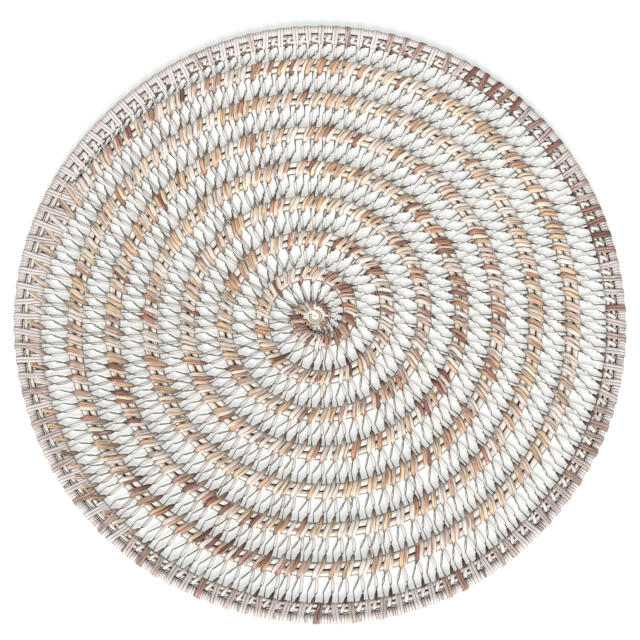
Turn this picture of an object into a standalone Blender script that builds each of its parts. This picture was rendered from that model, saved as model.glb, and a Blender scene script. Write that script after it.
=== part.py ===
# Round openwork placemat of cane, laid flat. Metres, +Z up, origin under the middle of the mat.
# Two round cores lie side by side as one flat spiral. Flat strands lace each turn to the one
# inside it and leave pointed gaps between them. A border of one thick and two thin cores,
# bound by radial strands, goes round the edge.

import math

import bmesh
import bpy

# The whole mat. Each wave of the uneven outline has its count round the mat, its height
# and the bearing of one crest in degrees.
MAT_RADIUS = 0.190
OUTLINE_WAVES = (
    {"count": 1, "height": 0.0005, "bearing": -125},
    {"count": 3, "height": 0.0005, "bearing": -51},
    {"count": 6, "height": 0.0003, "bearing": -14},
)
CLEARANCE = 0.0003

# The spiral, about a middle that lies a little off the mat's own
SPIRAL_MIDDLE = (-0.0034, -0.0039)
TURN_PITCH = 0.0232
RADIUS_AT_TURN_ZERO = -0.0020
LAST_TURN = 7.64
TAIL_WIDTH = 0.0015

# The closed eye in the middle, which the first turn winds out of
EYE_RADIUS = 0.0080
EYE_END_TURN = 0.30

# The two cores of the spiral, with the strands round them
COIL_WIDTH = 0.0093
COIL_SIDE_TOP = 0.0035
COIL_SIDE_BOTTOM = 0.0017
CREST_HEIGHT = 0.0052
GROOVE_HEIGHT = 0.0040
CREST_STEP = 0.0160
CREST_STEP_ANGLE = 0.25

# The strands between the turns, at twice the real spacing. They lean and are drawn in half way.
STRAND_SPACING = 0.0165
STRAND_SPACING_ANGLE = 0.42
STRAND_END_WIDTH = 0.0086
STRAND_END_SHARE = 0.60
STRAND_WAIST_WIDTH = 0.0026
STRAND_LEAN = 0.0012
STRAND_TOP = 0.0033
STRAND_BOTTOM = 0.0019
SMALLEST_GAP = 0.0040

# The border. Each point of its section has its distance in from the edge, and its height
# between the binding strands and over one.
BORDER_WIDTH = 0.0129
BINDING_COUNT = 64
BINDING_SHARE = 0.42
BORDER_SECTION = (
    {"inward": 0.0016, "plain": 0.0000, "bound": 0.0000},
    {"inward": 0.0000, "plain": 0.0029, "bound": 0.0029},
    {"inward": 0.0014, "plain": 0.0053, "bound": 0.0059},
    {"inward": 0.0042, "plain": 0.0053, "bound": 0.0059},
    {"inward": 0.0062, "plain": 0.0033, "bound": 0.0053},
    {"inward": 0.0079, "plain": 0.0043, "bound": 0.0049},
    {"inward": 0.0095, "plain": 0.0034, "bound": 0.0048},
    {"inward": 0.0111, "plain": 0.0043, "bound": 0.0047},
    {"inward": 0.0129, "plain": 0.0033, "bound": 0.0034},
    {"inward": 0.0122, "plain": 0.0000, "bound": 0.0000},
)

# Heights of the field's lines, above and below
TOP_HEIGHTS = {
    "side": COIL_SIDE_TOP,
    "crest": CREST_HEIGHT,
    "groove": GROOVE_HEIGHT,
    "strand": STRAND_TOP,
}
BOTTOM_HEIGHTS = {
    "side": COIL_SIDE_BOTTOM,
    "crest": 0.0,
    "groove": 0.0,
    "strand": STRAND_BOTTOM,
}
LINE_KINDS = tuple(TOP_HEIGHTS)

FULL_TURN = 2 * math.pi


def clear_scene():
    for item in list(bpy.data.objects):
        bpy.data.objects.remove(item, do_unlink=True)


def make_material(name, colour, roughness):
    material = bpy.data.materials.new(name)
    material.use_nodes = True
    shader = material.node_tree.nodes["Principled BSDF"]
    shader.inputs["Base Color"].default_value = (*colour, 1.0)
    shader.inputs["Roughness"].default_value = roughness
    shader.inputs["Metallic"].default_value = 0.0
    return material


def finish_object(name, mesh_builder, material):
    mesh = bpy.data.meshes.new(name)
    mesh_builder.to_mesh(mesh)
    mesh_builder.free()
    mesh.materials.append(material)
    item = bpy.data.objects.new(name, mesh)
    bpy.context.scene.collection.objects.link(item)
    return item


def make_uneven(mesh_builder):
    # The outline's waves, which fade towards the middle
    for vertex in mesh_builder.verts:
        radius = math.hypot(vertex.co.x, vertex.co.y)
        bearing = math.atan2(vertex.co.y, vertex.co.x)
        rise = 0.0
        for wave in OUTLINE_WAVES:
            crest = math.radians(wave["bearing"])
            rise += wave["height"] * math.cos(wave["count"] * (bearing - crest))
        stretch = 1.0 + rise / MAT_RADIUS * (radius / MAT_RADIUS) ** 2
        vertex.co.x *= stretch
        vertex.co.y *= stretch


# Distances from the spiral's middle, by turn

def centre_line(turn):
    return RADIUS_AT_TURN_ZERO + TURN_PITCH * turn


def border_side(turn):
    # Where a ray from the spiral's middle meets the circle just inside the border
    limit = MAT_RADIUS - BORDER_WIDTH - CLEARANCE
    angle = FULL_TURN * turn
    along = SPIRAL_MIDDLE[0] * math.cos(angle) + SPIRAL_MIDDLE[1] * math.sin(angle)
    square = SPIRAL_MIDDLE[0] ** 2 + SPIRAL_MIDDLE[1] ** 2
    return -along + math.sqrt(along ** 2 - square + limit ** 2)


def turn_at_border():
    # The turn at which the coil's outer edge reaches the border
    turn = LAST_TURN - 1.0
    while centre_line(turn) + COIL_WIDTH / 2 < border_side(turn):
        turn += 0.001
    return turn


FIRST_GAP_TURN = (EYE_RADIUS + COIL_WIDTH / 2 - RADIUS_AT_TURN_ZERO) / TURN_PITCH
EYE_START_TURN = FIRST_GAP_TURN - 1.0
BORDER_TURN = turn_at_border()


def outer_edge(turn):
    if turn < EYE_END_TURN:
        share = (turn - EYE_START_TURN) / (EYE_END_TURN - EYE_START_TURN)
        end_radius = centre_line(EYE_END_TURN) + COIL_WIDTH / 2
        return EYE_RADIUS + share * (end_radius - EYE_RADIUS)
    return min(centre_line(turn) + COIL_WIDTH / 2, border_side(turn))


def coil_width(turn):
    if turn < BORDER_TURN:
        return COIL_WIDTH
    share = (turn - BORDER_TURN) / (LAST_TURN - BORDER_TURN)
    return COIL_WIDTH + share * (TAIL_WIDTH - COIL_WIDTH)


def inner_edge(turn):
    return outer_edge(turn) - coil_width(turn)


def gap_outside(turn):
    return inner_edge(turn) if turn <= LAST_TURN else border_side(turn)


def gap_inside(turn):
    return outer_edge(turn - 1.0)


def gap_middle(turn):
    return (gap_outside(turn) + gap_inside(turn)) / 2


def spacing(turn):
    # From one strand to the next, in turns
    return min(STRAND_SPACING / gap_middle(turn), STRAND_SPACING_ANGLE) / FULL_TURN


def steps(first, last, radius_at, longest, widest_angle):
    # Turns from first to last, evenly spread along the line of the given radius
    turns = [first]
    while turns[-1] < last:
        radius = radius_at(turns[-1])
        turns.append(turns[-1] + min(longest / radius, widest_angle) / FULL_TURN)
    scale = (last - first) / (turns[-1] - first)
    return [first + (turn - first) * scale for turn in turns]


class Field:
    # The woven field as flat faces, which are made solid at the end

    def __init__(self):
        self.mesh = bmesh.new()
        self.kind = self.mesh.verts.layers.int.new("kind")
        self.outer_line = []
        self.inner_line = []

    def point(self, turn, radius, kind):
        angle = FULL_TURN * turn
        vertex = self.mesh.verts.new((radius * math.cos(angle), radius * math.sin(angle), 0.0))
        vertex[self.kind] = LINE_KINDS.index(kind)
        return vertex

    def face(self, *corners):
        self.mesh.faces.new(corners)

    def join(self, outside, inside):
        # Triangles between two runs of (turn, vertex) whose counts may differ
        i = 0
        j = 0
        while i < len(outside) - 1 or j < len(inside) - 1:
            outside_left = i < len(outside) - 1
            inside_left = j < len(inside) - 1
            if outside_left and (not inside_left or outside[i + 1][0] <= inside[j + 1][0]):
                corners = (outside[i][1], outside[i + 1][1], inside[j][1])
                i += 1
            else:
                corners = (outside[i][1], inside[j + 1][1], inside[j][1])
                j += 1
            if len(set(corners)) == 3:
                self.face(*corners)

    def corners(self, turn, sign):
        # The outer and inner corners of one side of a strand: sign is -1 before it, 1 after it
        outside = gap_outside(turn)
        inside = gap_inside(turn)
        half = min(STRAND_END_WIDTH, STRAND_END_SHARE * FULL_TURN * inside * spacing(turn)) / 2
        outer_turn = turn + (sign * half - STRAND_LEAN) / (FULL_TURN * outside)
        inner_turn = turn + (sign * half + STRAND_LEAN) / (FULL_TURN * inside) - 1.0
        if turn <= LAST_TURN:
            outer_turn = min(outer_turn, LAST_TURN)
        outer = (outer_turn, self.point(outer_turn, gap_outside(outer_turn), "side"))
        inner = (inner_turn, self.point(inner_turn, outer_edge(inner_turn), "side"))
        if turn <= LAST_TURN:
            self.inner_line.append(outer)
        self.outer_line.append(inner)
        return outer, inner

    def waist(self, turn, sign):
        # One side of a strand where it is drawn in, half way across the gap
        waist_turn = turn + sign * STRAND_WAIST_WIDTH / 2 / (FULL_TURN * gap_middle(turn))
        return self.point(waist_turn, gap_middle(waist_turn), "strand")


def open_range():
    # The turns between which the gap is wide enough to be cut
    turns = [FIRST_GAP_TURN + 0.002 * count for count in range(4000)]
    wide = [turn for turn in turns if turn < BORDER_TURN + 1.0
            and gap_outside(turn) - gap_inside(turn) >= SMALLEST_GAP]
    return wide[0], wide[-1]


def lace_gap(field):
    # The long gap between the turns, from the eye out to the border, strand by strand
    first, last = open_range()
    turns = steps(first, last, gap_middle, STRAND_SPACING, STRAND_SPACING_ANGLE)

    start = field.point(FIRST_GAP_TURN, EYE_RADIUS, "side")
    field.inner_line.append((FIRST_GAP_TURN, start))
    field.outer_line.append((EYE_START_TURN, start))
    outer, inner = field.corners(turns[0], 1)
    field.join([(FIRST_GAP_TURN, start), outer], [(EYE_START_TURN, start), inner])

    for turn in turns[1:-1]:
        outer_before, inner_before = field.corners(turn, -1)
        outer_after, inner_after = field.corners(turn, 1)
        waist_before = field.waist(turn, -1)
        waist_after = field.waist(turn, 1)
        field.face(outer_before[1], waist_before, waist_after, outer_after[1])
        field.face(waist_before, inner_before[1], inner_after[1], waist_after)

    outer, inner = field.corners(turns[-1], -1)
    end = field.point(BORDER_TURN, outer_edge(BORDER_TURN), "side")
    field.outer_line.append((BORDER_TURN, end))
    field.join([outer, (BORDER_TURN + 1.0, end)], [inner, (BORDER_TURN, end)])


def build_field():
    field = Field()
    lace_gap(field)

    # The tail of the coil, along the border
    tail = steps(BORDER_TURN, LAST_TURN, outer_edge, CREST_STEP, CREST_STEP_ANGLE)
    for turn in tail[1:]:
        field.outer_line.append((turn, field.point(turn, outer_edge(turn), "side")))
    if field.inner_line[-1][0] < LAST_TURN:
        end = field.point(LAST_TURN, inner_edge(LAST_TURN), "side")
        field.inner_line.append((LAST_TURN, end))

    # Crests of the two cores and the groove between them
    lines = [field.outer_line]
    turns = steps(EYE_START_TURN, LAST_TURN, outer_edge, CREST_STEP, CREST_STEP_ANGLE)
    for share, kind in ((0.25, "crest"), (0.50, "groove"), (0.75, "crest")):
        line = []
        for turn in turns:
            radius = outer_edge(turn) - share * coil_width(turn)
            line.append((turn, field.point(turn, radius, kind)))
        lines.append(line)

    # The inner edge leaves the middle of the eye, and the eye is closed up to it
    middle = (EYE_START_TURN, field.point(0.0, 0.0, "side"))
    eye_turns = steps(EYE_END_TURN, FIRST_GAP_TURN, outer_edge, CREST_STEP, CREST_STEP_ANGLE)
    eye_line = [middle]
    for turn in eye_turns[1:-1]:
        eye_line.append((turn, field.point(turn, inner_edge(turn), "side")))
    for before, after in zip(eye_line[1:], eye_line[2:]):
        field.face(middle[1], before[1], after[1])
    seam = [middle[1]] + [line[0][1] for line in reversed(lines[1:])] + [field.inner_line[0][1]]
    for before, after in zip(seam, seam[1:]):
        field.face(before, eye_line[-1][1], after)
    lines.append(eye_line + field.inner_line)

    for outside, inside in zip(lines, lines[1:]):
        field.join(outside, inside)
    return solid_field(field)


def solid_field(field):
    mesh = field.mesh
    kind = field.kind
    bmesh.ops.recalc_face_normals(mesh, faces=mesh.faces)
    below = list(mesh.verts)
    raised = bmesh.ops.extrude_face_region(mesh, geom=list(mesh.faces))
    above = [item for item in raised["geom"] if isinstance(item, bmesh.types.BMVert)]
    for vertex in below:
        vertex.co.z = BOTTOM_HEIGHTS[LINE_KINDS[vertex[kind]]]
    for vertex in above:
        vertex.co.z = TOP_HEIGHTS[LINE_KINDS[vertex[kind]]]
    bmesh.ops.translate(mesh, verts=mesh.verts, vec=(*SPIRAL_MIDDLE, 0.0))
    bmesh.ops.recalc_face_normals(mesh, faces=mesh.faces)
    make_uneven(mesh)
    material = make_material("laced cane", (0.80, 0.66, 0.52), 0.6)
    return finish_object("woven_field", mesh, material)


def build_border():
    # One length of border with its binding strand, repeated round the mat
    mesh = bmesh.new()
    length = FULL_TURN / BINDING_COUNT
    rise = 0.06 * length
    stations = (
        (0.0, "plain"),
        (length * (1.0 - BINDING_SHARE) - rise, "plain"),
        (length * (1.0 - BINDING_SHARE), "bound"),
        (length - rise, "bound"),
        (length, "plain"),
    )
    loops = []
    for angle, state in stations:
        loop = []
        for place in BORDER_SECTION:
            radius = MAT_RADIUS - place["inward"]
            loop.append(mesh.verts.new((
                radius * math.cos(angle), radius * math.sin(angle), place[state])))
        loops.append(loop)
    count = len(BORDER_SECTION)
    for before, after in zip(loops, loops[1:]):
        for place in range(count):
            following = (place + 1) % count
            mesh.faces.new((before[place], before[following], after[following], after[place]))

    bmesh.ops.spin(mesh, geom=list(mesh.faces), cent=(0, 0, 0), axis=(0, 0, 1),
                   angle=FULL_TURN - length, steps=BINDING_COUNT - 1, use_duplicate=True)
    bmesh.ops.remove_doubles(mesh, verts=mesh.verts, dist=0.00001)
    bmesh.ops.recalc_face_normals(mesh, faces=mesh.faces)
    make_uneven(mesh)
    material = make_material("bound cane border", (0.62, 0.54, 0.50), 0.6)
    return finish_object("border_band", mesh, material)


def main():
    clear_scene()
    build_field()
    build_border()


main()
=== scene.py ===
# Round placemat of whitewashed split cane, laid flat on a pale table.
# Two round cores lie side by side as one spiral. One flat strand laces each turn to the turn inside it.
# The border is a bound edge core and two thin cores under straps.
# Lengths in the dictionaries are millimetres and bearings are degrees, unless a name says otherwise.

import math
import random

import bmesh
import bpy
from mathutils import Color, Matrix, Vector


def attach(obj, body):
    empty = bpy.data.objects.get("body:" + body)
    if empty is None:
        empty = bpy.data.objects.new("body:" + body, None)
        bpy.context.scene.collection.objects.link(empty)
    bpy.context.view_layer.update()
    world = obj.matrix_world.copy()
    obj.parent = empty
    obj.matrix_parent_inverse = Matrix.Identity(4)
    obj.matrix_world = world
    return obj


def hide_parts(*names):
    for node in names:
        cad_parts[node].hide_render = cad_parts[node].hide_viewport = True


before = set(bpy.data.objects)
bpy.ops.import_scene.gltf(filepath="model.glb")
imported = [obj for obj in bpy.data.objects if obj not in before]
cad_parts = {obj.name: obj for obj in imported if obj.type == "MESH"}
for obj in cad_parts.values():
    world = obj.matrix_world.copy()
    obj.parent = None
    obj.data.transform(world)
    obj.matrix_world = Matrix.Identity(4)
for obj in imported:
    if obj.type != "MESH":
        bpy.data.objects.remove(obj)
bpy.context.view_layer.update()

mm = 0.001
weld = 1e-6  # metres, between vertices that meet
dice = random.Random(11)

mat = {
    "radius": 190.0,
    # the outline is a little uneven: crests round the edge, their height, and the bearing of one
    "waves": [(1, 0.5, -125), (3, 0.5, -51), (6, 0.3, -14)],
}

spiral = {
    "middle": (-3.4, -3.9),
    "turnPitch": 23.2,
    "radiusAtZero": -2.0,
    "coreRadius": 2.15,
    "coreHeight": 3.03,  # of the core's middle, over two layers of strand
    "coreOffset": 2.25,  # each core from the pair's middle line
    "swell": 0.03,  # by this share a core's thickness comes and goes,
    "swellRate": 61.0,  # in waves of this many radians a turn
    "eyeTurns": (-0.84, 0.15, 0.45),  # the ring in the middle starts, begins to open, and has opened
    "eyeRadius": 5.85,
    "eyeInner": 3.6,  # where the strands turn down inside the ring
    "eyeCore": 0.4,  # how wide they turn there
    "knotTurn": -0.7,  # where the inner core starts, curled up inside the ring
    "knotRadius": 1.35,
    "knotCore": 1.5,
    "joinsBorder": 7.42,  # in turns
    "scarf": 0.09,  # the outer core is pared away over this much of a turn
    "scarfEnd": 0.4,  # to this radius
    "scarfClear": 0.4,  # from the core's end to the border
    "lastTurn": 7.64,  # the inner core tapers out to here, beside the border
    "tailEnd": 0.5,  # to this radius
    "tailClear": 0.3,  # from the core to the border
    "stationLength": 3.2,
    "longestStation": 0.04,  # in turns
    "sides": 8,
}

border = {
    "edgeCore": {"ring": 187.1, "radius": 2.75, "height": 3.15},
    "thinCores": [{"ring": 182.5, "radius": 1.4}, {"ring": 179.55, "radius": 1.4}],
    "thinHeight": 2.75,
    "thinSteps": 380,
    "innerEdge": 177.6,
    "paintedLightSide": 95.0,  # painted light: the bearing at which the border is painted palest
    "paintedLightDrift": 0.12,  # how much paler it is there, and darker on the opposite side
}


def settle(x, y, z):  # a point of the round plan, moved with the mat's slightly uneven outline, in metres
    reach = math.hypot(x, y)
    bearing = math.atan2(y, x)
    rise = 0
    for count, height, crest in mat["waves"]:
        rise += height * math.cos(count * (bearing - math.radians(crest)))
    swell = 1 + rise / mat["radius"] * (reach / mat["radius"]) ** 2
    return Vector((x * swell, y * swell, z)) * mm


def aboutSpiral(angle, radius, height):
    middleX, middleY = spiral["middle"]
    return settle(middleX + radius * math.cos(angle), middleY + radius * math.sin(angle), height)


def aboutMat(angle, radius, height):
    return settle(radius * math.cos(angle), radius * math.sin(angle), height)


def reachTo(circle, angle):  # from the spiral's middle out to a circle round the mat's own middle
    middle = Vector(spiral["middle"])
    outward = middle.dot(Vector((math.cos(angle), math.sin(angle))))
    return math.sqrt(outward ** 2 - middle.length_squared + circle ** 2) - outward


def blend(start, end, share):
    share = min(1.0, max(0.0, share))
    return start + (end - start) * share


def smooth(start, end, share):
    share = min(1.0, max(0.0, share))
    return blend(start, end, share * share * (3 - 2 * share))


def linear(hexColour):  # sRGB hex to the linear colour that a socket takes
    colour = Color(int(hexColour[place:place + 2], 16) / 255 for place in (0, 2, 4))
    return (*colour.from_srgb_to_scene_linear(), 1.0)


# The pair of cores at a turn of the spiral

def pairAt(turn):
    angle = math.tau * turn
    middle = spiral["radiusAtZero"] + spiral["turnPitch"] * turn
    core = spiral["coreRadius"]
    pair = {
        "inner": middle - spiral["coreOffset"],
        "outer": middle + spiral["coreOffset"],
        "innerCore": core,
        "outerCore": core,
        "height": spiral["coreHeight"],
    }
    opens, opened = spiral["eyeTurns"][1:]
    if turn < opened:
        share = (turn - opens) / (opened - opens)
        pair["outer"] = smooth(spiral["eyeRadius"], pair["outer"], share)
        pair["inner"] = smooth(spiral["eyeInner"], max(pair["inner"], spiral["eyeInner"]), share)
        pair["innerCore"] = smooth(spiral["eyeCore"], core, share)
    thinOuter, thinInner = border["thinCores"]
    joins, last = spiral["joinsBorder"], spiral["lastTurn"]
    if joins < turn < last:  # the inner core beside the border's inner thin core
        tail = blend(core, spiral["tailEnd"], (turn - joins) / (last - joins))
        beside = reachTo(border["innerEdge"] - spiral["tailClear"], angle) - tail
        pair["inner"] = smooth(pair["inner"], beside, (turn - joins) / spiral["scarf"])
        pair["innerCore"] = tail
        pair["outer"] = reachTo(thinInner["ring"], angle)
        pair["outerCore"] = thinInner["radius"]
    elif turn > joins:  # the border's two thin cores
        pair["inner"] = reachTo(thinInner["ring"], angle)
        pair["innerCore"] = thinInner["radius"]
        pair["outer"] = reachTo(thinOuter["ring"], angle)
        pair["outerCore"] = thinOuter["radius"]
        pair["height"] = border["thinHeight"]
    pair["innerEdge"] = pair["inner"] - pair["innerCore"]
    pair["outerEdge"] = pair["outer"] + pair["outerCore"]
    return pair


# Round cores, as a grid rolled up along its line

def rollCore(bm, line, radii, sides, groove):  # groove is the bearing, round the core, of its neighbour
    count = len(line) - 1
    made = bmesh.ops.create_grid(bm, x_segments=count, y_segments=sides, size=1, calc_uvs=True)
    uvLayer = bm.loops.layers.uv.verify()
    along = [0.0]
    for here, following in zip(line, line[1:]):
        along.append(along[-1] + (following - here).length)
    places = {}
    for vert in made["verts"]:
        step = round((vert.co.x + 1) / 2 * count)
        side = round((vert.co.y + 1) / 2 * sides)
        places[vert] = (step, side)
    frames = []
    for step in range(count + 1):
        ahead = line[min(step + 1, count)] - line[max(step - 1, 0)]
        outward = ahead.cross(Vector((0, 0, 1))).normalized()
        frames.append((outward, outward.cross(ahead).normalized()))
    for vert, (step, side) in places.items():
        around = groove + math.pi + math.tau * side / sides
        outward, upward = frames[step]
        vert.co = line[step] + (outward * math.cos(around) + upward * math.sin(around)) * radii[step]
    for face in {face for vert in places for face in vert.link_faces}:
        for loop in face.loops:
            step, side = places[loop.vert]
            around = (side / sides - 0.5) * math.tau
            loop[uvLayer].uv = (along[step], around * mm)  # 1 mm across is a radian
    bmesh.ops.remove_doubles(bm, verts=list(places), dist=weld)


def finishMesh(name, bm, materials):
    bmesh.ops.recalc_face_normals(bm, faces=bm.faces)
    mesh = bpy.data.meshes.new(name)
    bm.to_mesh(mesh)
    bm.free()
    for material in materials:
        mesh.materials.append(material)
    mesh.polygons.foreach_set("use_smooth", [True] * len(mesh.polygons))
    piece = bpy.data.objects.new(name, mesh)
    bpy.context.scene.collection.objects.link(piece)
    return piece


# Flat strands, as one long grid wound along its stations

lowestStrand = 0.25  # of a strand's middle line, so that its underside stays on the table


def windStrand(name, stations, thickness, materials):
    count = len(stations) - 1
    bm = bmesh.new()
    uvLayer = bm.loops.layers.uv.new("strandUV")
    toneLayer = bm.verts.layers.float_color.new("strandTone")
    made = bmesh.ops.create_grid(bm, x_segments=count, y_segments=1, size=1)
    line = [station["point"] for station in stations]
    along = [0.0]
    for here, following in zip(line, line[1:]):
        along.append(along[-1] + (following - here).length)
    places = {}
    for vert in made["verts"]:
        step = round((vert.co.x + 1) / 2 * count)
        side = 1 if vert.co.y > 0 else -1
        places[vert] = (step, side)
        station = stations[step]
        ahead = (line[min(step + 1, count)] - line[max(step - 1, 0)]).normalized()
        across = station["across"]
        across = (across - ahead * across.dot(ahead)).normalized()
        across = Matrix.Rotation(math.radians(station["twist"]), 3, ahead) @ across
        vert.co = line[step] + across * (side * station["width"] / 2 * mm)
        vert.co.z = max(vert.co.z, lowestStrand * mm)
        vert[toneLayer] = (station["tone"], station["wash"], station["grain"], station["dark"])
    for face in bm.faces:
        for loop in face.loops:
            step, side = places[loop.vert]
            loop[uvLayer].uv = (along[step], side * mm)  # -1 to 1 mm across, at any width
    strand = finishMesh(name, bm, materials)
    solid = strand.modifiers.new("Thickness", "SOLIDIFY")
    solid.thickness = thickness * mm
    solid.offset = 0
    solid.material_offset_rim = 1
    bpy.context.view_layer.update()
    whole = bpy.data.meshes.new_from_object(strand.evaluated_get(bpy.context.evaluated_depsgraph_get()))
    strand.modifiers.clear()
    strand.data = whole
    whole.name = name
    bm = bmesh.new()
    bm.from_mesh(whole)
    for edge in bm.edges:
        edge.smooth = len({face.material_index for face in edge.link_faces}) == 1
    bm.to_mesh(whole)
    bm.free()
    return strand


# Materials

def addNode(tree, kind, settings=None, inputs=None):
    node = tree.nodes.new(kind)
    for name, value in (settings or {}).items():
        setattr(node, name, value)
    for name, value in (inputs or {}).items():
        if isinstance(value, bpy.types.NodeSocket):
            tree.links.new(value, node.inputs[name])
        else:
            node.inputs[name].default_value = value
    return node


def newMaterial(name):
    material = bpy.data.materials.new(name)
    material.use_nodes = True
    return material, material.node_tree, material.node_tree.nodes["Principled BSDF"]


def setRamp(node, stops):
    ramp = node.color_ramp
    while len(ramp.elements) < len(stops):
        ramp.elements.new(0.5)
    for element, (place, colour) in zip(ramp.elements, stops):
        element.position = place
        element.color = linear(colour)


# Split cane: the outer skin of rattan, split into flat strands, with a thin whitewash brushed on and
# rubbed back. It shows as long streaks under a broken white film, a slight crown across, and a dark line of
# painted shade along each edge. A strand's vertices carry its tone, its wash, its place in the grain and how
# dark it is there.
caneLooks = {
    "tones": [  # raw cane from dark to pale, as the strands of one mat vary
        (0.00, "3c322c"), (0.06, "6e524a"), (0.20, "a06d5c"), (0.36, "c19076"),
        (0.52, "d1aa89"), (0.66, "dbbc9a"), (0.82, "e0cbad"), (1.00, "dfc2b4"),
    ],
    "strapTones": [
        (0.00, "4f403b"), (0.25, "96695a"), (0.45, "ae8c7c"), (0.75, "c4ac9d"), (1.00, "cdb8ae"),
    ],
    "bindingTones": [
        (0.00, "473e3a"), (0.20, "85736c"), (0.50, "b09c8e"), (0.80, "c9b8a8"), (1.00, "cdb6ac"),
    ],
    "wash": "ebe6df",
    "borderWash": "e0d7d3",
    "washFrom": (0.76, 1.2),  # wash and patch together: bare up to the first, covered from the second
    # the colour of the cut sides, also used for painted shade
    "cutSideAndShade": "32271f",
    "edgeShadeFrom": (0.72, 0.96),  # where the painted shade along each edge begins and is darkest, as shares of the half width
    "grainAcross": 0.7,  # real fibres are a third as wide, drawn this coarse to show
    "grainAlong": 12.0,
    "grainApart": 40.0,  # the most that two strands' grain is shifted against each other
    "streakFrom": (0.38, 0.6),  # the noise of the darkest and the palest streaks
    "streakShade": (0.4, 1.25),  # and what they do to the raw colour
    "patchAcross": 0.6,  # the patches where the wash was rubbed back
    "patchAlong": 6.0,
    "crown": 0.22,
    "grainDepth": 0.08,
    "roughness": 0.62,
    "ior": 1.5,
}


# washShift is how much further the wash covers, and edgeShadeShare how dark the painted shade along the
# edges is
def makeSplitCane(name, tones, washColour, washShift, edgeShadeShare):
    material, tree, shader = newMaterial(name)
    uv = addNode(tree, "ShaderNodeUVMap", {"uv_map": "strandUV"}).outputs["UV"]
    tone = addNode(tree, "ShaderNodeAttribute", {"attribute_name": "strandTone"})
    parts = addNode(tree, "ShaderNodeSeparateColor", inputs={"Color": tone.outputs["Color"]})
    shift = addNode(tree, "ShaderNodeCombineXYZ", inputs={"Z": parts.outputs["Blue"]})
    far = addNode(tree, "ShaderNodeVectorMath", {"operation": "SCALE"}, {
        0: shift.outputs[0], "Scale": caneLooks["grainApart"]})
    grainScale = (1 / (caneLooks["grainAlong"] * mm), 1 / (caneLooks["grainAcross"] * mm), 1)
    grainPlace = addNode(tree, "ShaderNodeMapping", inputs={
        "Vector": uv, "Scale": grainScale, "Location": far.outputs[0]})
    grain = addNode(tree, "ShaderNodeTexNoise", inputs={
        "Vector": grainPlace.outputs[0], "Scale": 1.0, "Detail": 4.0, "Roughness": 0.6})
    patchScale = (1 / (caneLooks["patchAlong"] * mm), 1 / (caneLooks["patchAcross"] * mm), 1)
    patchPlace = addNode(tree, "ShaderNodeMapping", inputs={
        "Vector": uv, "Scale": patchScale, "Location": far.outputs[0]})
    patch = addNode(tree, "ShaderNodeTexNoise", inputs={
        "Vector": patchPlace.outputs[0], "Scale": 1.0, "Detail": 4.0, "Roughness": 0.6})
    raw = addNode(tree, "ShaderNodeValToRGB", inputs={"Fac": parts.outputs["Red"]})
    setRamp(raw, tones)
    streakLow, streakHigh = caneLooks["streakFrom"]
    streakDark, streakPale = caneLooks["streakShade"]
    streak = addNode(tree, "ShaderNodeMapRange", inputs={
        "Value": grain.outputs["Fac"], "From Min": streakLow, "From Max": streakHigh,
        "To Min": streakDark, "To Max": streakPale})
    streaked = addNode(tree, "ShaderNodeVectorMath", {"operation": "SCALE"}, {
        0: raw.outputs["Color"], "Scale": streak.outputs[0]})
    washHere = addNode(tree, "ShaderNodeMath", {"operation": "ADD"}, {
        0: parts.outputs["Green"], 1: patch.outputs["Fac"]})
    bare, covered = caneLooks["washFrom"]
    cover = addNode(tree, "ShaderNodeMapRange", {"interpolation_type": "SMOOTHSTEP"}, {
        "Value": washHere.outputs[0], "From Min": bare - washShift, "From Max": covered - washShift})
    washed = addNode(tree, "ShaderNodeMix", {"data_type": "RGBA"}, {
        0: cover.outputs[0], 6: streaked.outputs[0], 7: linear(washColour)})
    # painted shade: a dark line along each edge, in the cut sides' colour, and the skin is crowned between
    # them
    across = addNode(tree, "ShaderNodeSeparateXYZ", inputs={"Vector": uv}).outputs["Y"]
    fromMiddle = addNode(tree, "ShaderNodeMath", {"operation": "ABSOLUTE"}, {0: across})
    sideBegins, sideEnds = caneLooks["edgeShadeFrom"]
    side = addNode(tree, "ShaderNodeMapRange", {"interpolation_type": "SMOOTHSTEP"}, {
        "Value": fromMiddle.outputs[0], "From Min": sideBegins * mm, "From Max": sideEnds * mm,
        "To Max": edgeShadeShare})
    dark = addNode(tree, "ShaderNodeMath", {"operation": "ADD", "use_clamp": True}, {
        0: side.outputs[0], 1: tone.outputs["Alpha"]})
    sided = addNode(tree, "ShaderNodeMix", {"data_type": "RGBA"}, {
        0: dark.outputs[0], 6: washed.outputs[2], 7: linear(caneLooks["cutSideAndShade"])})
    tree.links.new(sided.outputs[2], shader.inputs["Base Color"])
    shader.inputs["Roughness"].default_value = caneLooks["roughness"]
    shader.inputs["IOR"].default_value = caneLooks["ior"]
    dip = addNode(tree, "ShaderNodeMath", {"operation": "MULTIPLY"}, {0: fromMiddle.outputs[0], 1: 1 / mm})
    dipped = addNode(tree, "ShaderNodeMath", {"operation": "POWER"}, {0: dip.outputs[0], 1: 2.0})
    relief = addNode(tree, "ShaderNodeMath", {"operation": "MULTIPLY_ADD"}, {
        0: dipped.outputs[0], 1: -caneLooks["crown"] / caneLooks["grainDepth"], 2: grain.outputs["Fac"]})
    bump = addNode(tree, "ShaderNodeBump", inputs={
        "Height": relief.outputs[0], "Strength": 1.0, "Distance": caneLooks["grainDepth"] * mm})
    tree.links.new(bump.outputs[0], shader.inputs["Normal"])
    return material


# The raw sides of a strand, where the splitter cut it and the wash did not reach: dull, dark and mottled
edgeLooks = {
    "mottle": [(0.35, "3e332c"), (0.7, "8c7a6c")],
    "mottleSize": 1.5,
    "roughness": 0.8,
}


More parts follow.
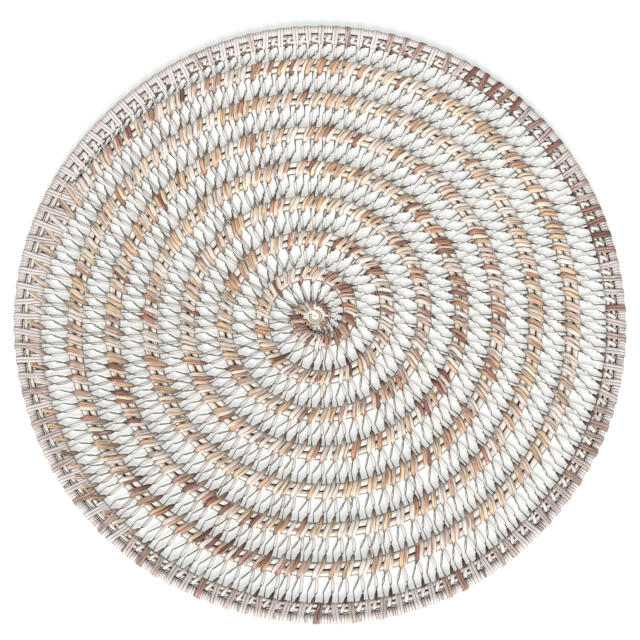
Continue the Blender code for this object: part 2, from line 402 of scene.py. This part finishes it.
def makeSplitEdge(name):
    material, tree, shader = newMaterial(name)
    place = addNode(tree, "ShaderNodeTexCoord").outputs["Object"]
    speck = addNode(tree, "ShaderNodeTexNoise", inputs={
        "Vector": place, "Scale": 1 / (edgeLooks["mottleSize"] * mm), "Detail": 2.0})
    ramp = addNode(tree, "ShaderNodeValToRGB", inputs={"Fac": speck.outputs["Fac"]})
    setRamp(ramp, edgeLooks["mottle"])
    tree.links.new(ramp.outputs["Color"], shader.inputs["Base Color"])
    shader.inputs["Roughness"].default_value = edgeLooks["roughness"]
    return material


# Peeled core: the round inner reed of rattan under the same whitewash. It shows dull and fibrous, cream on
# top, with painted shade in dark brown in the groove between two cores and in a line low on the far side.
coreLooks = {
    "fibres": [(0.30, "b8957a"), (0.42, "e4d6c4"), (0.55, "f3ece2"), (0.75, "f8f5ef")],
    "fibreAcross": 0.25,  # radians round the core, about 0.5 mm: coarser than real fibre, to show
    "fibreAlong": 14.0,
    "fibreDepth": 0.15,
    # the colour of the painted shade on the cores
    "paintedShade": "261c16",
    # radians round from the groove: the painted shade is darkest up to the first and ends at a place between
    # the other two
    "groove": (0.3, 0.45, 0.85),
    "thinGroove": (0.7, 1.0, 1.3),
    "grooveShade": 0.97,
    "wander": 14.0,  # the length over which that place changes
    "wanderFrom": (0.4, 0.62),  # the noise at which it is nearest and furthest
    "lowShadeFrom": (2.1, 2.6),  # radians: painted shade low on the far side too, a dark line along the pair
    "lowShade": 0.75,
    "roughness": 0.7,
}


def makePeeledCore(name, groove):
    material, tree, shader = newMaterial(name)
    uv = addNode(tree, "ShaderNodeUVMap", {"uv_map": "UVMap"}).outputs["UV"]
    fibreScale = (1 / (coreLooks["fibreAlong"] * mm), 1 / (coreLooks["fibreAcross"] * mm), 1)
    place = addNode(tree, "ShaderNodeMapping", inputs={"Vector": uv, "Scale": fibreScale})
    fibre = addNode(tree, "ShaderNodeTexNoise", inputs={
        "Vector": place.outputs[0], "Scale": 1.0, "Detail": 2.0})
    ramp = addNode(tree, "ShaderNodeValToRGB", inputs={"Fac": fibre.outputs["Fac"]})
    setRamp(ramp, coreLooks["fibres"])
    around = addNode(tree, "ShaderNodeSeparateXYZ", inputs={"Vector": uv}).outputs["Y"]
    fromGroove = addNode(tree, "ShaderNodeMath", {"operation": "ABSOLUTE"}, {0: around})
    surface = addNode(tree, "ShaderNodeTexCoord").outputs["Object"]
    wander = addNode(tree, "ShaderNodeTexNoise", inputs={
        "Vector": surface, "Scale": 1 / (coreLooks["wander"] * mm), "Detail": 1.0})
    shadeDarkestTo, shadeEndsNearest, shadeEndsFurthest = groove
    wanderLow, wanderHigh = coreLooks["wanderFrom"]
    shadeEndsAt = addNode(tree, "ShaderNodeMapRange", inputs={
        "Value": wander.outputs["Fac"], "From Min": wanderLow, "From Max": wanderHigh,
        "To Min": shadeEndsNearest * mm, "To Max": shadeEndsFurthest * mm})
    # painted shade: dark in the groove between two cores, and low on the far side
    paintedShade = addNode(tree, "ShaderNodeMapRange", {"interpolation_type": "SMOOTHSTEP"}, {
        "Value": fromGroove.outputs[0], "From Min": shadeEndsAt.outputs[0], "From Max": shadeDarkestTo * mm,
        "To Max": coreLooks["grooveShade"]})
    lowBegins, lowEnds = coreLooks["lowShadeFrom"]
    low = addNode(tree, "ShaderNodeMapRange", {"interpolation_type": "SMOOTHSTEP"}, {
        "Value": fromGroove.outputs[0], "From Min": lowBegins * mm, "From Max": lowEnds * mm,
        "To Max": coreLooks["lowShade"]})
    dark = addNode(tree, "ShaderNodeMath", {"operation": "MAXIMUM"}, {
        0: paintedShade.outputs[0], 1: low.outputs[0]})
    shaded = addNode(tree, "ShaderNodeMix", {"data_type": "RGBA"}, {
        0: dark.outputs[0], 6: ramp.outputs["Color"], 7: linear(coreLooks["paintedShade"])})
    tree.links.new(shaded.outputs[2], shader.inputs["Base Color"])
    shader.inputs["Roughness"].default_value = coreLooks["roughness"]
    bump = addNode(tree, "ShaderNodeBump", inputs={
        "Height": fibre.outputs["Fac"], "Strength": 0.6, "Distance": coreLooks["fibreDepth"] * mm})
    tree.links.new(bump.outputs[0], shader.inputs["Normal"])
    return material


washedSkin = makeSplitCane(
    "split cane, whitewashed and rubbed back", caneLooks["tones"], caneLooks["wash"],
    washShift=0.0, edgeShadeShare=0.85)
washedEdge = makeSplitEdge("split cane, raw edge")
strapSkin = makeSplitCane(
    "split cane, border strap under a thin wash", caneLooks["strapTones"], caneLooks["borderWash"],
    washShift=0.04, edgeShadeShare=0.65)
bindingSkin = makeSplitCane(
    "split cane, heavier pinkish grey wash", caneLooks["bindingTones"], caneLooks["borderWash"],
    washShift=0.12, edgeShadeShare=0.72)
peeledCore = makePeeledCore("peeled rattan core, whitewashed", coreLooks["groove"])
thinCore = makePeeledCore("thin peeled rattan core, whitewashed", coreLooks["thinGroove"])

# The spiral's two cores

def layCores():
    bm = bmesh.new()
    bm.loops.layers.uv.new("UVMap")
    begins, opens, opened = spiral["eyeTurns"]
    joins = spiral["joinsBorder"]
    joined = joins + spiral["scarf"]
    for which, start, end in (("outer", begins, joined), ("inner", spiral["knotTurn"], spiral["lastTurn"])):
        line, radii = [], []
        turn = start
        while turn < end:
            pair = pairAt(min(turn, joins) if which == "outer" else turn)
            radius = pair[which]
            angle = math.tau * turn
            thick = pair[which + "Core"] * (1 + spiral["swell"] * math.sin(turn * spiral["swellRate"]))
            if which == "inner" and turn < opened:
                radius = max(spiral["knotRadius"], pair["outer"] - 2 * spiral["coreOffset"])
                thick = smooth(spiral["knotCore"], spiral["coreRadius"], (turn - opens) / (opened - opens))
            if which == "outer" and turn > joins:
                share = (turn - joins) / spiral["scarf"]
                thick = blend(thick, spiral["scarfEnd"], share)
                radius += spiral["turnPitch"] * (turn - joins)
                beside = reachTo(border["innerEdge"] - spiral["scarfClear"], angle) - thick
                radius = smooth(radius, beside, share)
            line.append(aboutSpiral(angle, radius, pair["height"]))
            radii.append(thick * mm)
            turn += min(spiral["longestStation"], spiral["stationLength"] / (math.tau * radius))
        rollCore(bm, line, radii, spiral["sides"], 0.0 if which == "inner" else math.pi)
    bmesh.ops.holes_fill(bm, edges=[edge for edge in bm.edges if edge.is_boundary])
    return finishMesh("spiral_cores", bm, [peeledCore])


# The lacing

lacing = {
    "stitchPitch": 8.5,  # along the outer pair's inner edge
    "borderPitch": 9.0,
    "thickness": 0.4,
    "width": 2.8,
    "widthInside": 2.1,  # of the strands near the middle
    "insideTo": 15.0,  # those strands reach this far from the middle
    "widensOver": 70.0,  # and over this much more they come to their full width
    "widthVaries": (0.86, 1.14),
    "broader": 0.28,  # on the side where they cover the cores almost wholly
    "broaderSide": 140.0,
    "pitchVaries": (0.93, 1.07),
    "closestPitch": 0.33,  # radians, near the middle
    "easeWithin": 25.0,  # nearer the middle than this the slants ease off
    "bend": 0.58,  # where the bent leg turns, as a share of the gap out from the inner pair
    "bentBy": 0.9,  # of its way round, when it comes to that pair
    "pointBelow": (0.07, 0.18),  # how far into the gap a point reaches, as a share, at the mat's foot
    "pointAbove": (0.24, 0.38),  # and at its head
    "pointDark": 0.88,  # a point is darkened: partly its dark cut side turned up, partly painted shade
    "waist": 0.9,  # of the bent leg, where it stands on edge
    "onEdge": (0.8, 0.4, 0.72),  # tone, wash and darkness there: partly its dark cut side, partly painted shade
    "legWidth": 2.0,  # of the straight leg
    "inside": (0.9, 0.72),  # tone and wash of the strand's pale inside
    "lineToLeg": 5.8,  # from a stitch's bent leg to its straight leg
    "strandToLeg": 1.2,  # from where the strand comes on to the inner pair
    "legFromStrand": 0.4,  # the leg's place is this share of the way from the first to the second
    "bentAcross": 5.0,  # how far the bent leg goes round from its line to the inner pair
    "straightAcross": 3.3,  # how far the straight leg goes back before the outer pair
    "lean": 29.0,  # of the strand over a pair of cores
    "leanVaries": (0.75, 1.25),
    "halfPair": 2.3,  # from the inner pair's middle line to a core's, for the lean there
    "slack": 0.2,  # between a strand and the core under it
    "shingle": 8.0,  # the tilt at which neighbouring strands lap over each other
    "arch": 0.25,  # how far the strand stands off between the two cores
    "underInner": 0.33,  # height of the strand's middle under the inner pair
    "underOuter": 0.72,  # and under the outer pair, over the strand that passes there already
    "underWash": 0.5,
    "gapClear": 0.3,  # between a pair of cores and where the gap is counted from
    "leastGap": 0.3,
    "wideGap": 12.0,  # from here on the legs have their full shape
    "swing": 10.0,  # how far a leg may be turned about its line
    "nextBeside": 2.7,  # from one strand to its neighbour over the same pair
    "closest": 0.8,  # as a share of that
    "looksWithin": 9.0,  # for a neighbour
    "pullWithin": 0.4,  # of the pitch: nearer than this to a neighbour's side it is pulled there,
    "pull": 0.8,  # by this share
    "pullLine": 0.3,  # and its line in the gap by this share
    "strays": 0.2,  # by chance, either way
    "firstBase": 0.28,  # the first strand's tone
    "firstStitches": 24,  # and how many stitches it makes
    "bases": [0.25, 0.35, 0.5, 0.55, 0.65, 0.8, 0.92],  # tones of the strands that follow
    "strandStitches": (10, 28),  # and how many stitches they make
    "toneSpread": 0.19,
    "darkest": 0.14,
    "washes": (0.04, 0.62),
    "startTurn": 0.55,
    "endTurn": 8.415,
    # over the border's thin cores a strand goes towards this tone and wash, by this share, and is narrower
    "lastTone": (0.02, 0.9),
    "lastWash": (0.8, 0.7),
    "lastWidth": 0.8,
}


def pickTone(base):  # a strand's tone varies from stitch to stitch
    return min(1.0, max(lacing["darkest"], base + dice.gauss(0, lacing["toneSpread"])))


# Each stitch goes from its line in the gap over the inner pair, back under it, over the outer pair and
# under that. Where it can, it lies beside a strand that is on the inner pair already.
def placeStitches():
    stitches = []
    lean = math.tan(math.radians(lacing["lean"]))
    fronts = []  # the middles of the straight legs' strands over the pairs so far
    line = math.tau * lacing["startTurn"]
    lastMiddle = 0.0
    while line < math.tau * lacing["endTurn"]:
        turn = line / math.tau
        outerPair, innerPair = pairAt(turn), pairAt(turn - 1)
        innerMiddle = (innerPair["inner"] + innerPair["outer"]) / 2
        outerMiddle = (outerPair["inner"] + outerPair["outer"]) / 2
        pitch = lacing["borderPitch"] if turn > spiral["joinsBorder"] else lacing["stitchPitch"]
        pitch = min(pitch, lacing["closestPitch"] * outerPair["innerEdge"])
        stretch = min(1.0, innerMiddle / lacing["easeWithin"])
        halfIn = lacing["halfPair"] * lean * stretch / innerMiddle
        widened = (outerMiddle - lacing["insideTo"]) / lacing["widensOver"]
        width = blend(lacing["widthInside"], lacing["width"], widened) * dice.uniform(*lacing["widthVaries"])
        width *= 1 + lacing["broader"] * max(0.0, math.cos(line - math.radians(lacing["broaderSide"])))
        crowded = pitch / outerPair["innerEdge"] * innerMiddle
        middleIn = line + lacing["bentAcross"] * stretch / innerMiddle + halfIn
        within = lacing["looksWithin"] / innerMiddle
        near = [front + math.tau for front in fronts if abs(front + math.tau - middleIn) < within]
        slots = [front - lacing["nextBeside"] / innerMiddle for front in near]
        pull = 0.0
        if slots:
            slot = min(slots, key=lambda place: abs(place - middleIn))
            if abs(slot - middleIn) < lacing["pullWithin"] * crowded / innerMiddle:
                pull = slot - middleIn
        middleIn += lacing["pull"] * pull + dice.uniform(-lacing["strays"], lacing["strays"]) / innerMiddle
        closest = lacing["closest"] * lacing["nextBeside"] / innerMiddle
        for front in near:  # clear of the strands on either side
            if abs(front - middleIn) < closest:
                middleIn = front + math.copysign(closest, middleIn - front)
        middleIn = max(middleIn, lastMiddle + lacing["closest"] * min(width, crowded) / innerMiddle)
        lastMiddle = middleIn
        lineHere = line + lacing["pullLine"] * pull * innerMiddle / outerPair["innerEdge"]
        fromLine = lineHere + lacing["lineToLeg"] / outerPair["innerEdge"]
        fromStrand = middleIn - halfIn + lacing["strandToLeg"] / innerMiddle
        leg = blend(fromLine, fromStrand, lacing["legFromStrand"])
        halfPair = (outerPair["outer"] - outerPair["inner"]) / 2
        halfOut = halfPair * lean * dice.uniform(*lacing["leanVaries"]) / outerMiddle
        middleOut = leg - lacing["straightAcross"] / outerMiddle - halfOut
        fronts.append(middleOut)
        stitches.append({
            "turn": turn, "line": lineHere, "leg": leg, "width": width, "widthIn": min(width, crowded),
            "middleIn": middleIn, "halfIn": halfIn, "middleOut": middleOut, "halfOut": halfOut})
        line += pitch * dice.uniform(*lacing["pitchVaries"]) / outerPair["innerEdge"]
    return stitches


def laceTurns(stitches):
    stations = []
    half = lacing["thickness"] / 2 + lacing["slack"]
    shingle, arch, waist = lacing["shingle"], lacing["arch"], lacing["waist"]
    over = 180 + shingle  # the straight leg has made half a twist when it goes over its pair
    onEdge, inside, legWidth = lacing["onEdge"], lacing["inside"], lacing["legWidth"]
    insideWash, underWash = inside[1], lacing["underWash"]
    clear, dark = lacing["gapClear"], lacing["pointDark"]

    # a station: its place, its twist about the strand's line in degrees, its width and its looks
    def put(angle, radius, height, twist, broad, tone, wash, darkness=0.0):
        if grows:  # the spiral widens from where the radius was taken
            radius += spiral["turnPitch"] * (angle - takenAt) / math.tau
        stations.append({
            "point": aboutSpiral(angle, radius, height),
            "across": Vector((-math.sin(angle), math.cos(angle), 0)),
            "twist": twist, "width": broad, "tone": tone, "wash": wash, "grain": grain, "dark": darkness})

    # stations round the open side of one core of a pair, at these degrees up from level
    def wrap(angle, pair, which, arounds, twist, broad, tone, wash, darkness=0.0):
        outward = 1 if which == "outer" else -1
        reach = pair[which + "Core"] + half
        for around in arounds:
            upward = math.radians(around)
            put(angle, pair[which] + outward * reach * math.cos(upward),
                pair["height"] + reach * math.sin(upward), twist, broad, tone, wash, darkness)

    def bentAngle(share):  # of the bent leg, at a share of the gap out from the inner pair
        return blend(line, start, lacing["bentBy"] * (lacing["bend"] - share) / lacing["bend"])

    base = lacing["firstBase"]
    toneOut = pickTone(base)
    left = lacing["firstStitches"]
    for stitch, following in zip(stitches, stitches[1:] + [None]):
        innerPair = pairAt(stitch["middleIn"] / math.tau - 1)
        outerPair = pairAt(stitch["middleOut"] / math.tau)
        gapIn = pairAt(stitch["turn"] - 1)["outerEdge"] + clear
        gapOut = pairAt(stitch["turn"])["innerEdge"] - clear
        atBorder = stitch["turn"] > spiral["joinsBorder"]
        gap = max(gapOut - gapIn, lacing["leastGap"])
        near = min(1.0, gap / lacing["wideGap"])
        grain = dice.random()
        swing = dice.uniform(-lacing["swing"], lacing["swing"])
        line, leg, width, widthIn = stitch["line"], stitch["leg"], stitch["width"], stitch["widthIn"]
        if left == 0:
            base = dice.choice(lacing["bases"])
            left = dice.randint(*lacing["strandStitches"])
        left -= 1
        toneIn = pickTone(base)
        washIn, washOut = dice.uniform(*lacing["washes"]), dice.uniform(*lacing["washes"])

        # the bent leg, over the inner pair and back under it
        grows, takenAt = True, line
        outer, inner, height = innerPair["outer"], innerPair["inner"], innerPair["height"]
        topOut, topIn = height + innerPair["outerCore"] + half, height + innerPair["innerCore"] + half
        middle, lean = stitch["middleIn"], stitch["halfIn"]
        start = middle - lean
        below, above = dice.uniform(*lacing["pointBelow"]), dice.uniform(*lacing["pointAbove"])
        head = (1 + math.sin(line)) / 2
        point = blend(below, above, head)
        skin = (toneIn, washIn)
        # up from under the outer pair, on edge along its line to the bend
        # the on-edge part is darkened: partly its cut side, partly painted shade
        put(line, gapOut + clear, 0.95, 130, waist, *onEdge)
        put(line, gapOut - 1.2 * near, 1.25, 115 - swing, waist, *onEdge)
        put(line, gapOut - 0.24 * gap, 1.5, 92 - swing, waist, *onEdge)
        put(line, gapIn + lacing["bend"] * gap, 1.5, 97 - swing, waist, *onEdge)
        # its inside shows, and then a twist brings the skin up, from a point on
        put(bentAngle(0.4), gapIn + 0.4 * gap, 1.75, 125 + swing, width * 0.6, *inside)
        # the point is darkened: partly its cut side turned up, partly painted shade
        put(bentAngle(point + 0.06), gapIn + (point + 0.06) * gap, 2.1, 108, widthIn * 0.5,
            toneIn, insideWash, 0.5)
        put(bentAngle(point), gapIn + point * gap, 2.3, 72, widthIn * 0.5, *skin, dark)
        put(bentAngle(point * 0.4), gapIn + point * 0.4 * gap, 2.9, 34, widthIn * 0.85, *skin, 0.7 * dark)
        wrap(blend(line, start, lacing["bentBy"]), innerPair, "outer", [24], 14, widthIn, *skin, 0.5 * dark)
        wrap(blend(line, start, 0.96), innerPair, "outer", [54], 0, widthIn, *skin, 0.15)
        # over both cores, down round the inner one and back under them
        put(start, outer, topOut, -shingle, widthIn, *skin)
        put(middle, (inner + outer) / 2, (topIn + topOut) / 2 + arch, -shingle, widthIn, *skin)
        put(middle + lean, inner, topIn, -shingle, widthIn, *skin)
        wrap(middle + lean * 1.6, innerPair, "inner", [50, 0, -50], 0, widthIn, toneIn, underWash)
        put(blend(middle + lean, leg, 0.25), inner, lacing["underInner"], 0, widthIn, toneIn, underWash)
        put(blend(middle + lean, leg, 0.85), outer, lacing["underInner"], 0, widthIn, toneOut, underWash)

        # the straight leg, over the outer pair
        outer, inner, height = outerPair["outer"], outerPair["inner"], outerPair["height"]
        topOut, topIn = height + outerPair["outerCore"] + half, height + outerPair["innerCore"] + half
        middle, lean = stitch["middleOut"], stitch["halfOut"]
        start = middle + lean
        frontWash = washOut
        if stitch["turn"] > spiral["lastTurn"]:
            frontWash = blend(washOut, *lacing["lastWash"])
            toneOut = blend(toneOut, *lacing["lastTone"])
            width *= lacing["lastWidth"]
        takenAt = line
        point = blend(above, below, head)
        skin = (toneOut, washOut)
        # flat, with its inside up
        put(leg, gapIn - clear, 0.8, 12, legWidth * 0.75, *inside)
        put(leg, gapIn + 1.6 * near, 1.15, 18 + swing, legWidth * 0.85, *inside)
        put(leg, gapIn + 0.36 * gap, 1.4, 10 + swing, legWidth, *inside)
        put(blend(leg, start, 0.12), gapOut - (point + 0.16) * gap, 1.6, 20 + swing, legWidth, *inside)
        # half a twist, from a point to a broad blade with its skin up
        # the point is darkened: partly its cut side turned up, partly painted shade
        put(blend(leg, start, 0.28), gapOut - point * gap, 1.9, 96, width * 0.5, *skin, dark)
        put(blend(leg, start, 0.48), gapOut - point * 0.6 * gap, 2.5, 140, width * 0.8, *skin, 0.8 * dark)
        put(blend(leg, start, 0.68), gapOut - point * 0.22 * gap, 3.3, 172, width, *skin, 0.3 * dark)
        grows, takenAt = not atBorder, middle
        wrap(blend(leg, start, 0.87), outerPair, "inner", [48], over, width, *skin)
        # over both cores, down round the outer one and back under them to the next line
        put(start, inner, topIn, over, width, toneOut, frontWash)
        put(middle, (inner + outer) / 2, (topIn + topOut) / 2 + arch, over, width, toneOut, frontWash)
        put(middle - lean, outer, topOut, over, width, toneOut, frontWash)
        wrap(middle - lean * 1.6, outerPair, "outer", [50, 0, -50], 180, width * 0.95, toneOut, underWash)
        if following:
            ahead, low = following["line"], lacing["underOuter"]
            put(blend(middle - lean, ahead, 0.25), outer, low, 180, width * 0.9, toneOut, underWash)
            put(blend(middle - lean, ahead, 0.9), inner, low, 180, width * 0.8, toneOut, underWash)
        toneOut = pickTone(base)
    return stations


# The border: two thin cores, an edge core under a close binding, and straps over all three

# painted light and shade: more wash towards one bearing, less on the opposite side
def paintedLightAt(bearing):
    return border["paintedLightDrift"] * math.cos(bearing - math.radians(border["paintedLightSide"]))


def layThinCores():
    bm = bmesh.new()
    bm.loops.layers.uv.new("UVMap")
    steps = border["thinSteps"]
    for core in border["thinCores"]:
        line = []
        for step in range(steps + 1):
            line.append(aboutMat(math.tau * step / steps, core["ring"], border["thinHeight"]))
        rollCore(bm, line, [core["radius"] * mm] * len(line), spiral["sides"], 0.0)
    bmesh.ops.remove_doubles(bm, verts=bm.verts, dist=weld)
    return finishMesh("border_thin_cores", bm, [thinCore])


edgeBinding = {
    "wraps": 700,
    "wrapSteps": 3,  # one of them is the groove between two wraps
    "crown": 0.16,  # how far a wrap stands up from that groove
    "sides": 10,
    "wash": (0.35, 0.85),
    # painted shade on the side by the thin cores: from this share of the edge core's radius inwards,
    "shadedWithin": 0.55,
    "shadedTo": 0.8,  # and up to this far above its middle
    "shade": 0.95,
}


def bindEdge():
    edge = border["edgeCore"]
    wraps, wrapSteps = edgeBinding["wraps"], edgeBinding["wrapSteps"]
    bm = bmesh.new()
    uvLayer = bm.loops.layers.uv.new("strandUV")
    steps = wraps * wrapSteps
    line, radii = [], []
    for step in range(steps + 1):
        groove = edgeBinding["crown"] if step % wrapSteps == 0 else 0.0
        line.append(aboutMat(math.tau * step / steps, edge["ring"], edge["height"]))
        radii.append((edge["radius"] - groove) * mm)
    rollCore(bm, line, radii, edgeBinding["sides"], math.pi)
    bmesh.ops.remove_doubles(bm, verts=bm.verts, dist=weld)
    toneLayer = bm.verts.layers.float_color.new("strandTone")
    tones = []
    for wrap in range(wraps):
        wash = dice.uniform(*edgeBinding["wash"]) + paintedLightAt(math.tau * wrap / wraps)
        tones.append((dice.uniform(0.0, 1.0), wash, dice.random(), 0.0))
    shadedRing = (edge["ring"] - edgeBinding["shadedWithin"] * edge["radius"]) * mm
    shadedTop = (edge["height"] + edgeBinding["shadedTo"]) * mm
    for vert in bm.verts:
        share = (math.atan2(vert.co.y, vert.co.x) / math.tau) % 1.0
        vert[toneLayer] = tones[int(share * wraps) % wraps]
        # painted shade: this side of the edge core, by the thin cores, is darkened
        if vert.co.xy.length < shadedRing and vert.co.z < shadedTop:
            vert[toneLayer] = (0.0, 0.0, 0.0, edgeBinding["shade"])
    wrapLength = math.tau * edge["ring"] * mm / wraps
    for face in bm.faces:
        wrapHere = math.floor(min(loop[uvLayer].uv.x for loop in face.loops) / wrapLength + 0.1)
        for loop in face.loops:
            along, around = loop[uvLayer].uv
            across = 2 * (along / wrapLength - wrapHere) - 1  # each wrap is a strand, across the edge core
            loop[uvLayer].uv = (around, across * mm)
    return finishMesh("edge_binding", bm, [bindingSkin])


straps = {
    "width": 1.85,
    "strands": 2,  # side by side in each strap
    "apart": 0.05,
    "thickness": 0.4,
    "freePitch": 9.3,  # about this far from one strap to the next, where the stitches lie further apart
    "middleRing": 184.0,
    "lean": (-0.8, 1.6),  # how far round a strap goes
    "leanOver": 6.0,  # over this much of its length
    "redderSide": 38.0,  # the bearing at which reddish brown straps are commonest
    "red": (0.06, 0.6),  # the share of them everywhere, and how much more on that side
    "redTones": (0.12, 0.4),
    "paleTones": (0.45, 1.0),
    "toneDrift": 0.15,  # from one strand of a strap to the next
    "wash": (0.32, 0.75),
    "redWashLess": 0.3,
    "section": [  # ring radius and height of the strand's middle, once round all three cores
        (177.95, 2.0), (177.95, 3.5), (179.3, 4.5), (182.5, 4.75), (185.0, 5.55), (187.1, 6.15),
        (189.3, 5.3), (190.1, 3.15), (189.3, 1.1), (187.1, 0.25), (182.5, 0.3), (179.4, 0.75),
    ],
    # where the spiral's tail lies along the border, the straps go round it too, and a single strand lies
    # on either side of each strap
    "clearance": 0.45,  # from the tail's surface to the strand's middle
    "tailFoot": 2.2,  # heights of the strand's middle beside and under the tail
    "tailUnder": 0.75,
    "besideStrap": 2.75,
    "besideWidth": 1.6,
    "besideSection": [(179.6, 4.6), (181.0, 3.7), (181.0, 1.6), (179.4, 0.75)],
}


def strapBorder(stitches):
    bearings = []
    for stitch in stitches:
        if stitch["turn"] > spiral["joinsBorder"]:
            front = aboutSpiral(stitch["middleOut"], pairAt(stitch["turn"])["inner"], 0)
            bearings.append(math.atan2(front.y, front.x) % math.tau)
    bearings.sort()
    places = []
    for here, following in zip(bearings, bearings[1:] + [bearings[0] + math.tau]):
        count = max(1, round((following - here) * straps["middleRing"] / straps["freePitch"]))
        for part in range(count):
            places.append(here + (following - here) * (part + 0.5) / count)
    stations = []
    for place in places:
        whole, laid = straps["section"], []
        turn = math.floor(spiral["joinsBorder"]) + place / math.tau
        if spiral["joinsBorder"] < turn < spiral["lastTurn"]:
            pair = pairAt(turn)
            outward = Vector((math.cos(place), math.sin(place)))
            tailRing = pair["inner"] + Vector(spiral["middle"]).dot(outward)
            reach = pair["innerCore"] + straps["clearance"]
            begins, ends = [(tailRing - reach, straps["tailFoot"])], [(tailRing, straps["tailUnder"])]
            for rise in (0.0, 45.0, 90.0):  # up round the tail
                upward = math.radians(rise)
                height = spiral["coreHeight"] + reach * math.sin(upward)
                begins.append((tailRing - reach * math.cos(upward), height))
            whole = begins + whole[3:-1] + ends  # instead of the points round the inner thin core
            short = begins + straps["besideSection"] + ends
            laid = [(side * straps["besideStrap"], straps["besideWidth"], short) for side in (-1, 1)]
        for strand in range(straps["strands"]):
            offset = (strand - (straps["strands"] - 1) / 2) * (straps["width"] + straps["apart"])
            laid.append((offset, straps["width"], whole))
        lean = dice.uniform(*straps["lean"])
        redder = max(0.0, math.cos(place - math.radians(straps["redderSide"]))) ** 3
        redShare, redMore = straps["red"]
        isRed = dice.random() < redShare + redMore * redder
        tone = dice.uniform(*(straps["redTones"] if isRed else straps["paleTones"]))
        wash = dice.uniform(*straps["wash"]) + paintedLightAt(place) - straps["redWashLess"] * redder
        for offset, width, section in sorted(laid):
            grain = dice.random()
            for ring, height in section:
                tilt = lean * (straps["middleRing"] - ring) / straps["leanOver"]
                angle = place + (offset + tilt) / ring
                stations.append({
                    "point": aboutMat(angle, ring, height),
                    "across": Vector((-math.sin(angle), math.cos(angle), 0)),
                    "twist": 0, "width": width, "tone": tone, "wash": wash, "grain": grain, "dark": 0.0})
            tone = min(1.0, max(0.0, tone + dice.uniform(-straps["toneDrift"], straps["toneDrift"])))
    return windStrand("border_straps", stations, straps["thickness"], [strapSkin, washedEdge])


cores = layCores()
print("spiral cores laid:", len(cores.data.polygons), "faces")
stitches = placeStitches()
lacingPiece = windStrand("cane_lacing", laceTurns(stitches), lacing["thickness"], [washedSkin, washedEdge])
print("turns laced:", len(stitches), "stitches,", len(lacingPiece.data.polygons), "faces")
thinCores = layThinCores()
edgeBound = bindEdge()
strapPiece = strapBorder(stitches)
print("border bound:", len(edgeBound.data.polygons), "and", len(strapPiece.data.polygons), "faces")

for piece in (cores, lacingPiece, thinCores, edgeBound, strapPiece):
    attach(piece, "root")
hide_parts("woven_field")
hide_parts("border_band")

# Table, light and camera

stageLooks = {
    "tableSize": 6000.0,
    "tableDrop": 0.05,
    "table": "b4b6b4",
    "tableRoughness": 0.9,
    "tableGlow": 0.54,
    "glow": "fbfdfb",
    "sky": "ffffff",
    "skyStrength": 0.56,
    "keyStrength": 3.2,
    "keyElevation": 37.0,
    "keyBearing": -90.0,
    "keyAngle": 30.0,
}


def setStage():
    bm = bmesh.new()
    bmesh.ops.create_grid(bm, x_segments=1, y_segments=1, size=stageLooks["tableSize"] / 2 * mm)
    bmesh.ops.translate(bm, verts=bm.verts, vec=(0, 0, -stageLooks["tableDrop"] * mm))
    material, tree, shader = newMaterial("matt laminate, off-white")
    shader.inputs["Base Color"].default_value = linear(stageLooks["table"])
    shader.inputs["Roughness"].default_value = stageLooks["tableRoughness"]
    shader.inputs["Emission Color"].default_value = linear(stageLooks["glow"])
    shader.inputs["Emission Strength"].default_value = stageLooks["tableGlow"]
    table = finishMesh("table", bm, [material])
    world = bpy.data.worlds.new("pale studio")
    world.use_nodes = True
    bpy.context.scene.world = world
    sky = world.node_tree.nodes["Background"]
    sky.inputs["Color"].default_value = linear(stageLooks["sky"])
    sky.inputs["Strength"].default_value = stageLooks["skyStrength"]
    key = bpy.data.lights.new("key", "SUN")
    key.energy = stageLooks["keyStrength"]
    key.angle = math.radians(stageLooks["keyAngle"])
    lamp = bpy.data.objects.new("key", key)
    elevation, bearing = math.radians(stageLooks["keyElevation"]), math.radians(stageLooks["keyBearing"])
    level = math.cos(elevation)
    source = Vector((level * math.cos(bearing), level * math.sin(bearing), math.sin(elevation)))
    lamp.rotation_euler = source.to_track_quat("Z", "Y").to_euler()
    bpy.context.scene.collection.objects.link(lamp)
    bpy.context.scene.view_settings.view_transform = "Standard"


view = {
    "tilt": 12.10,  # back from straight down
    "distance": 794.6,
    "nearest": 10.0,
    "aim": (-0.6, -6.6, 3.8),
    "fieldOfView": 28.05,
}


def setCamera():
    tilt = math.radians(view["tilt"])
    camera = bpy.data.objects.new("camera", bpy.data.cameras.new("camera"))
    camera.data.sensor_fit = "HORIZONTAL"
    camera.data.angle = math.radians(view["fieldOfView"])
    camera.data.clip_start = view["nearest"] * mm
    back = Vector((0, -math.sin(tilt), math.cos(tilt)))
    camera.location = (Vector(view["aim"]) + back * view["distance"]) * mm
    camera.rotation_euler = (tilt, 0, 0)
    bpy.context.scene.collection.objects.link(camera)
    bpy.context.scene.camera = camera


setStage()
setCamera()
print("stage and camera set")
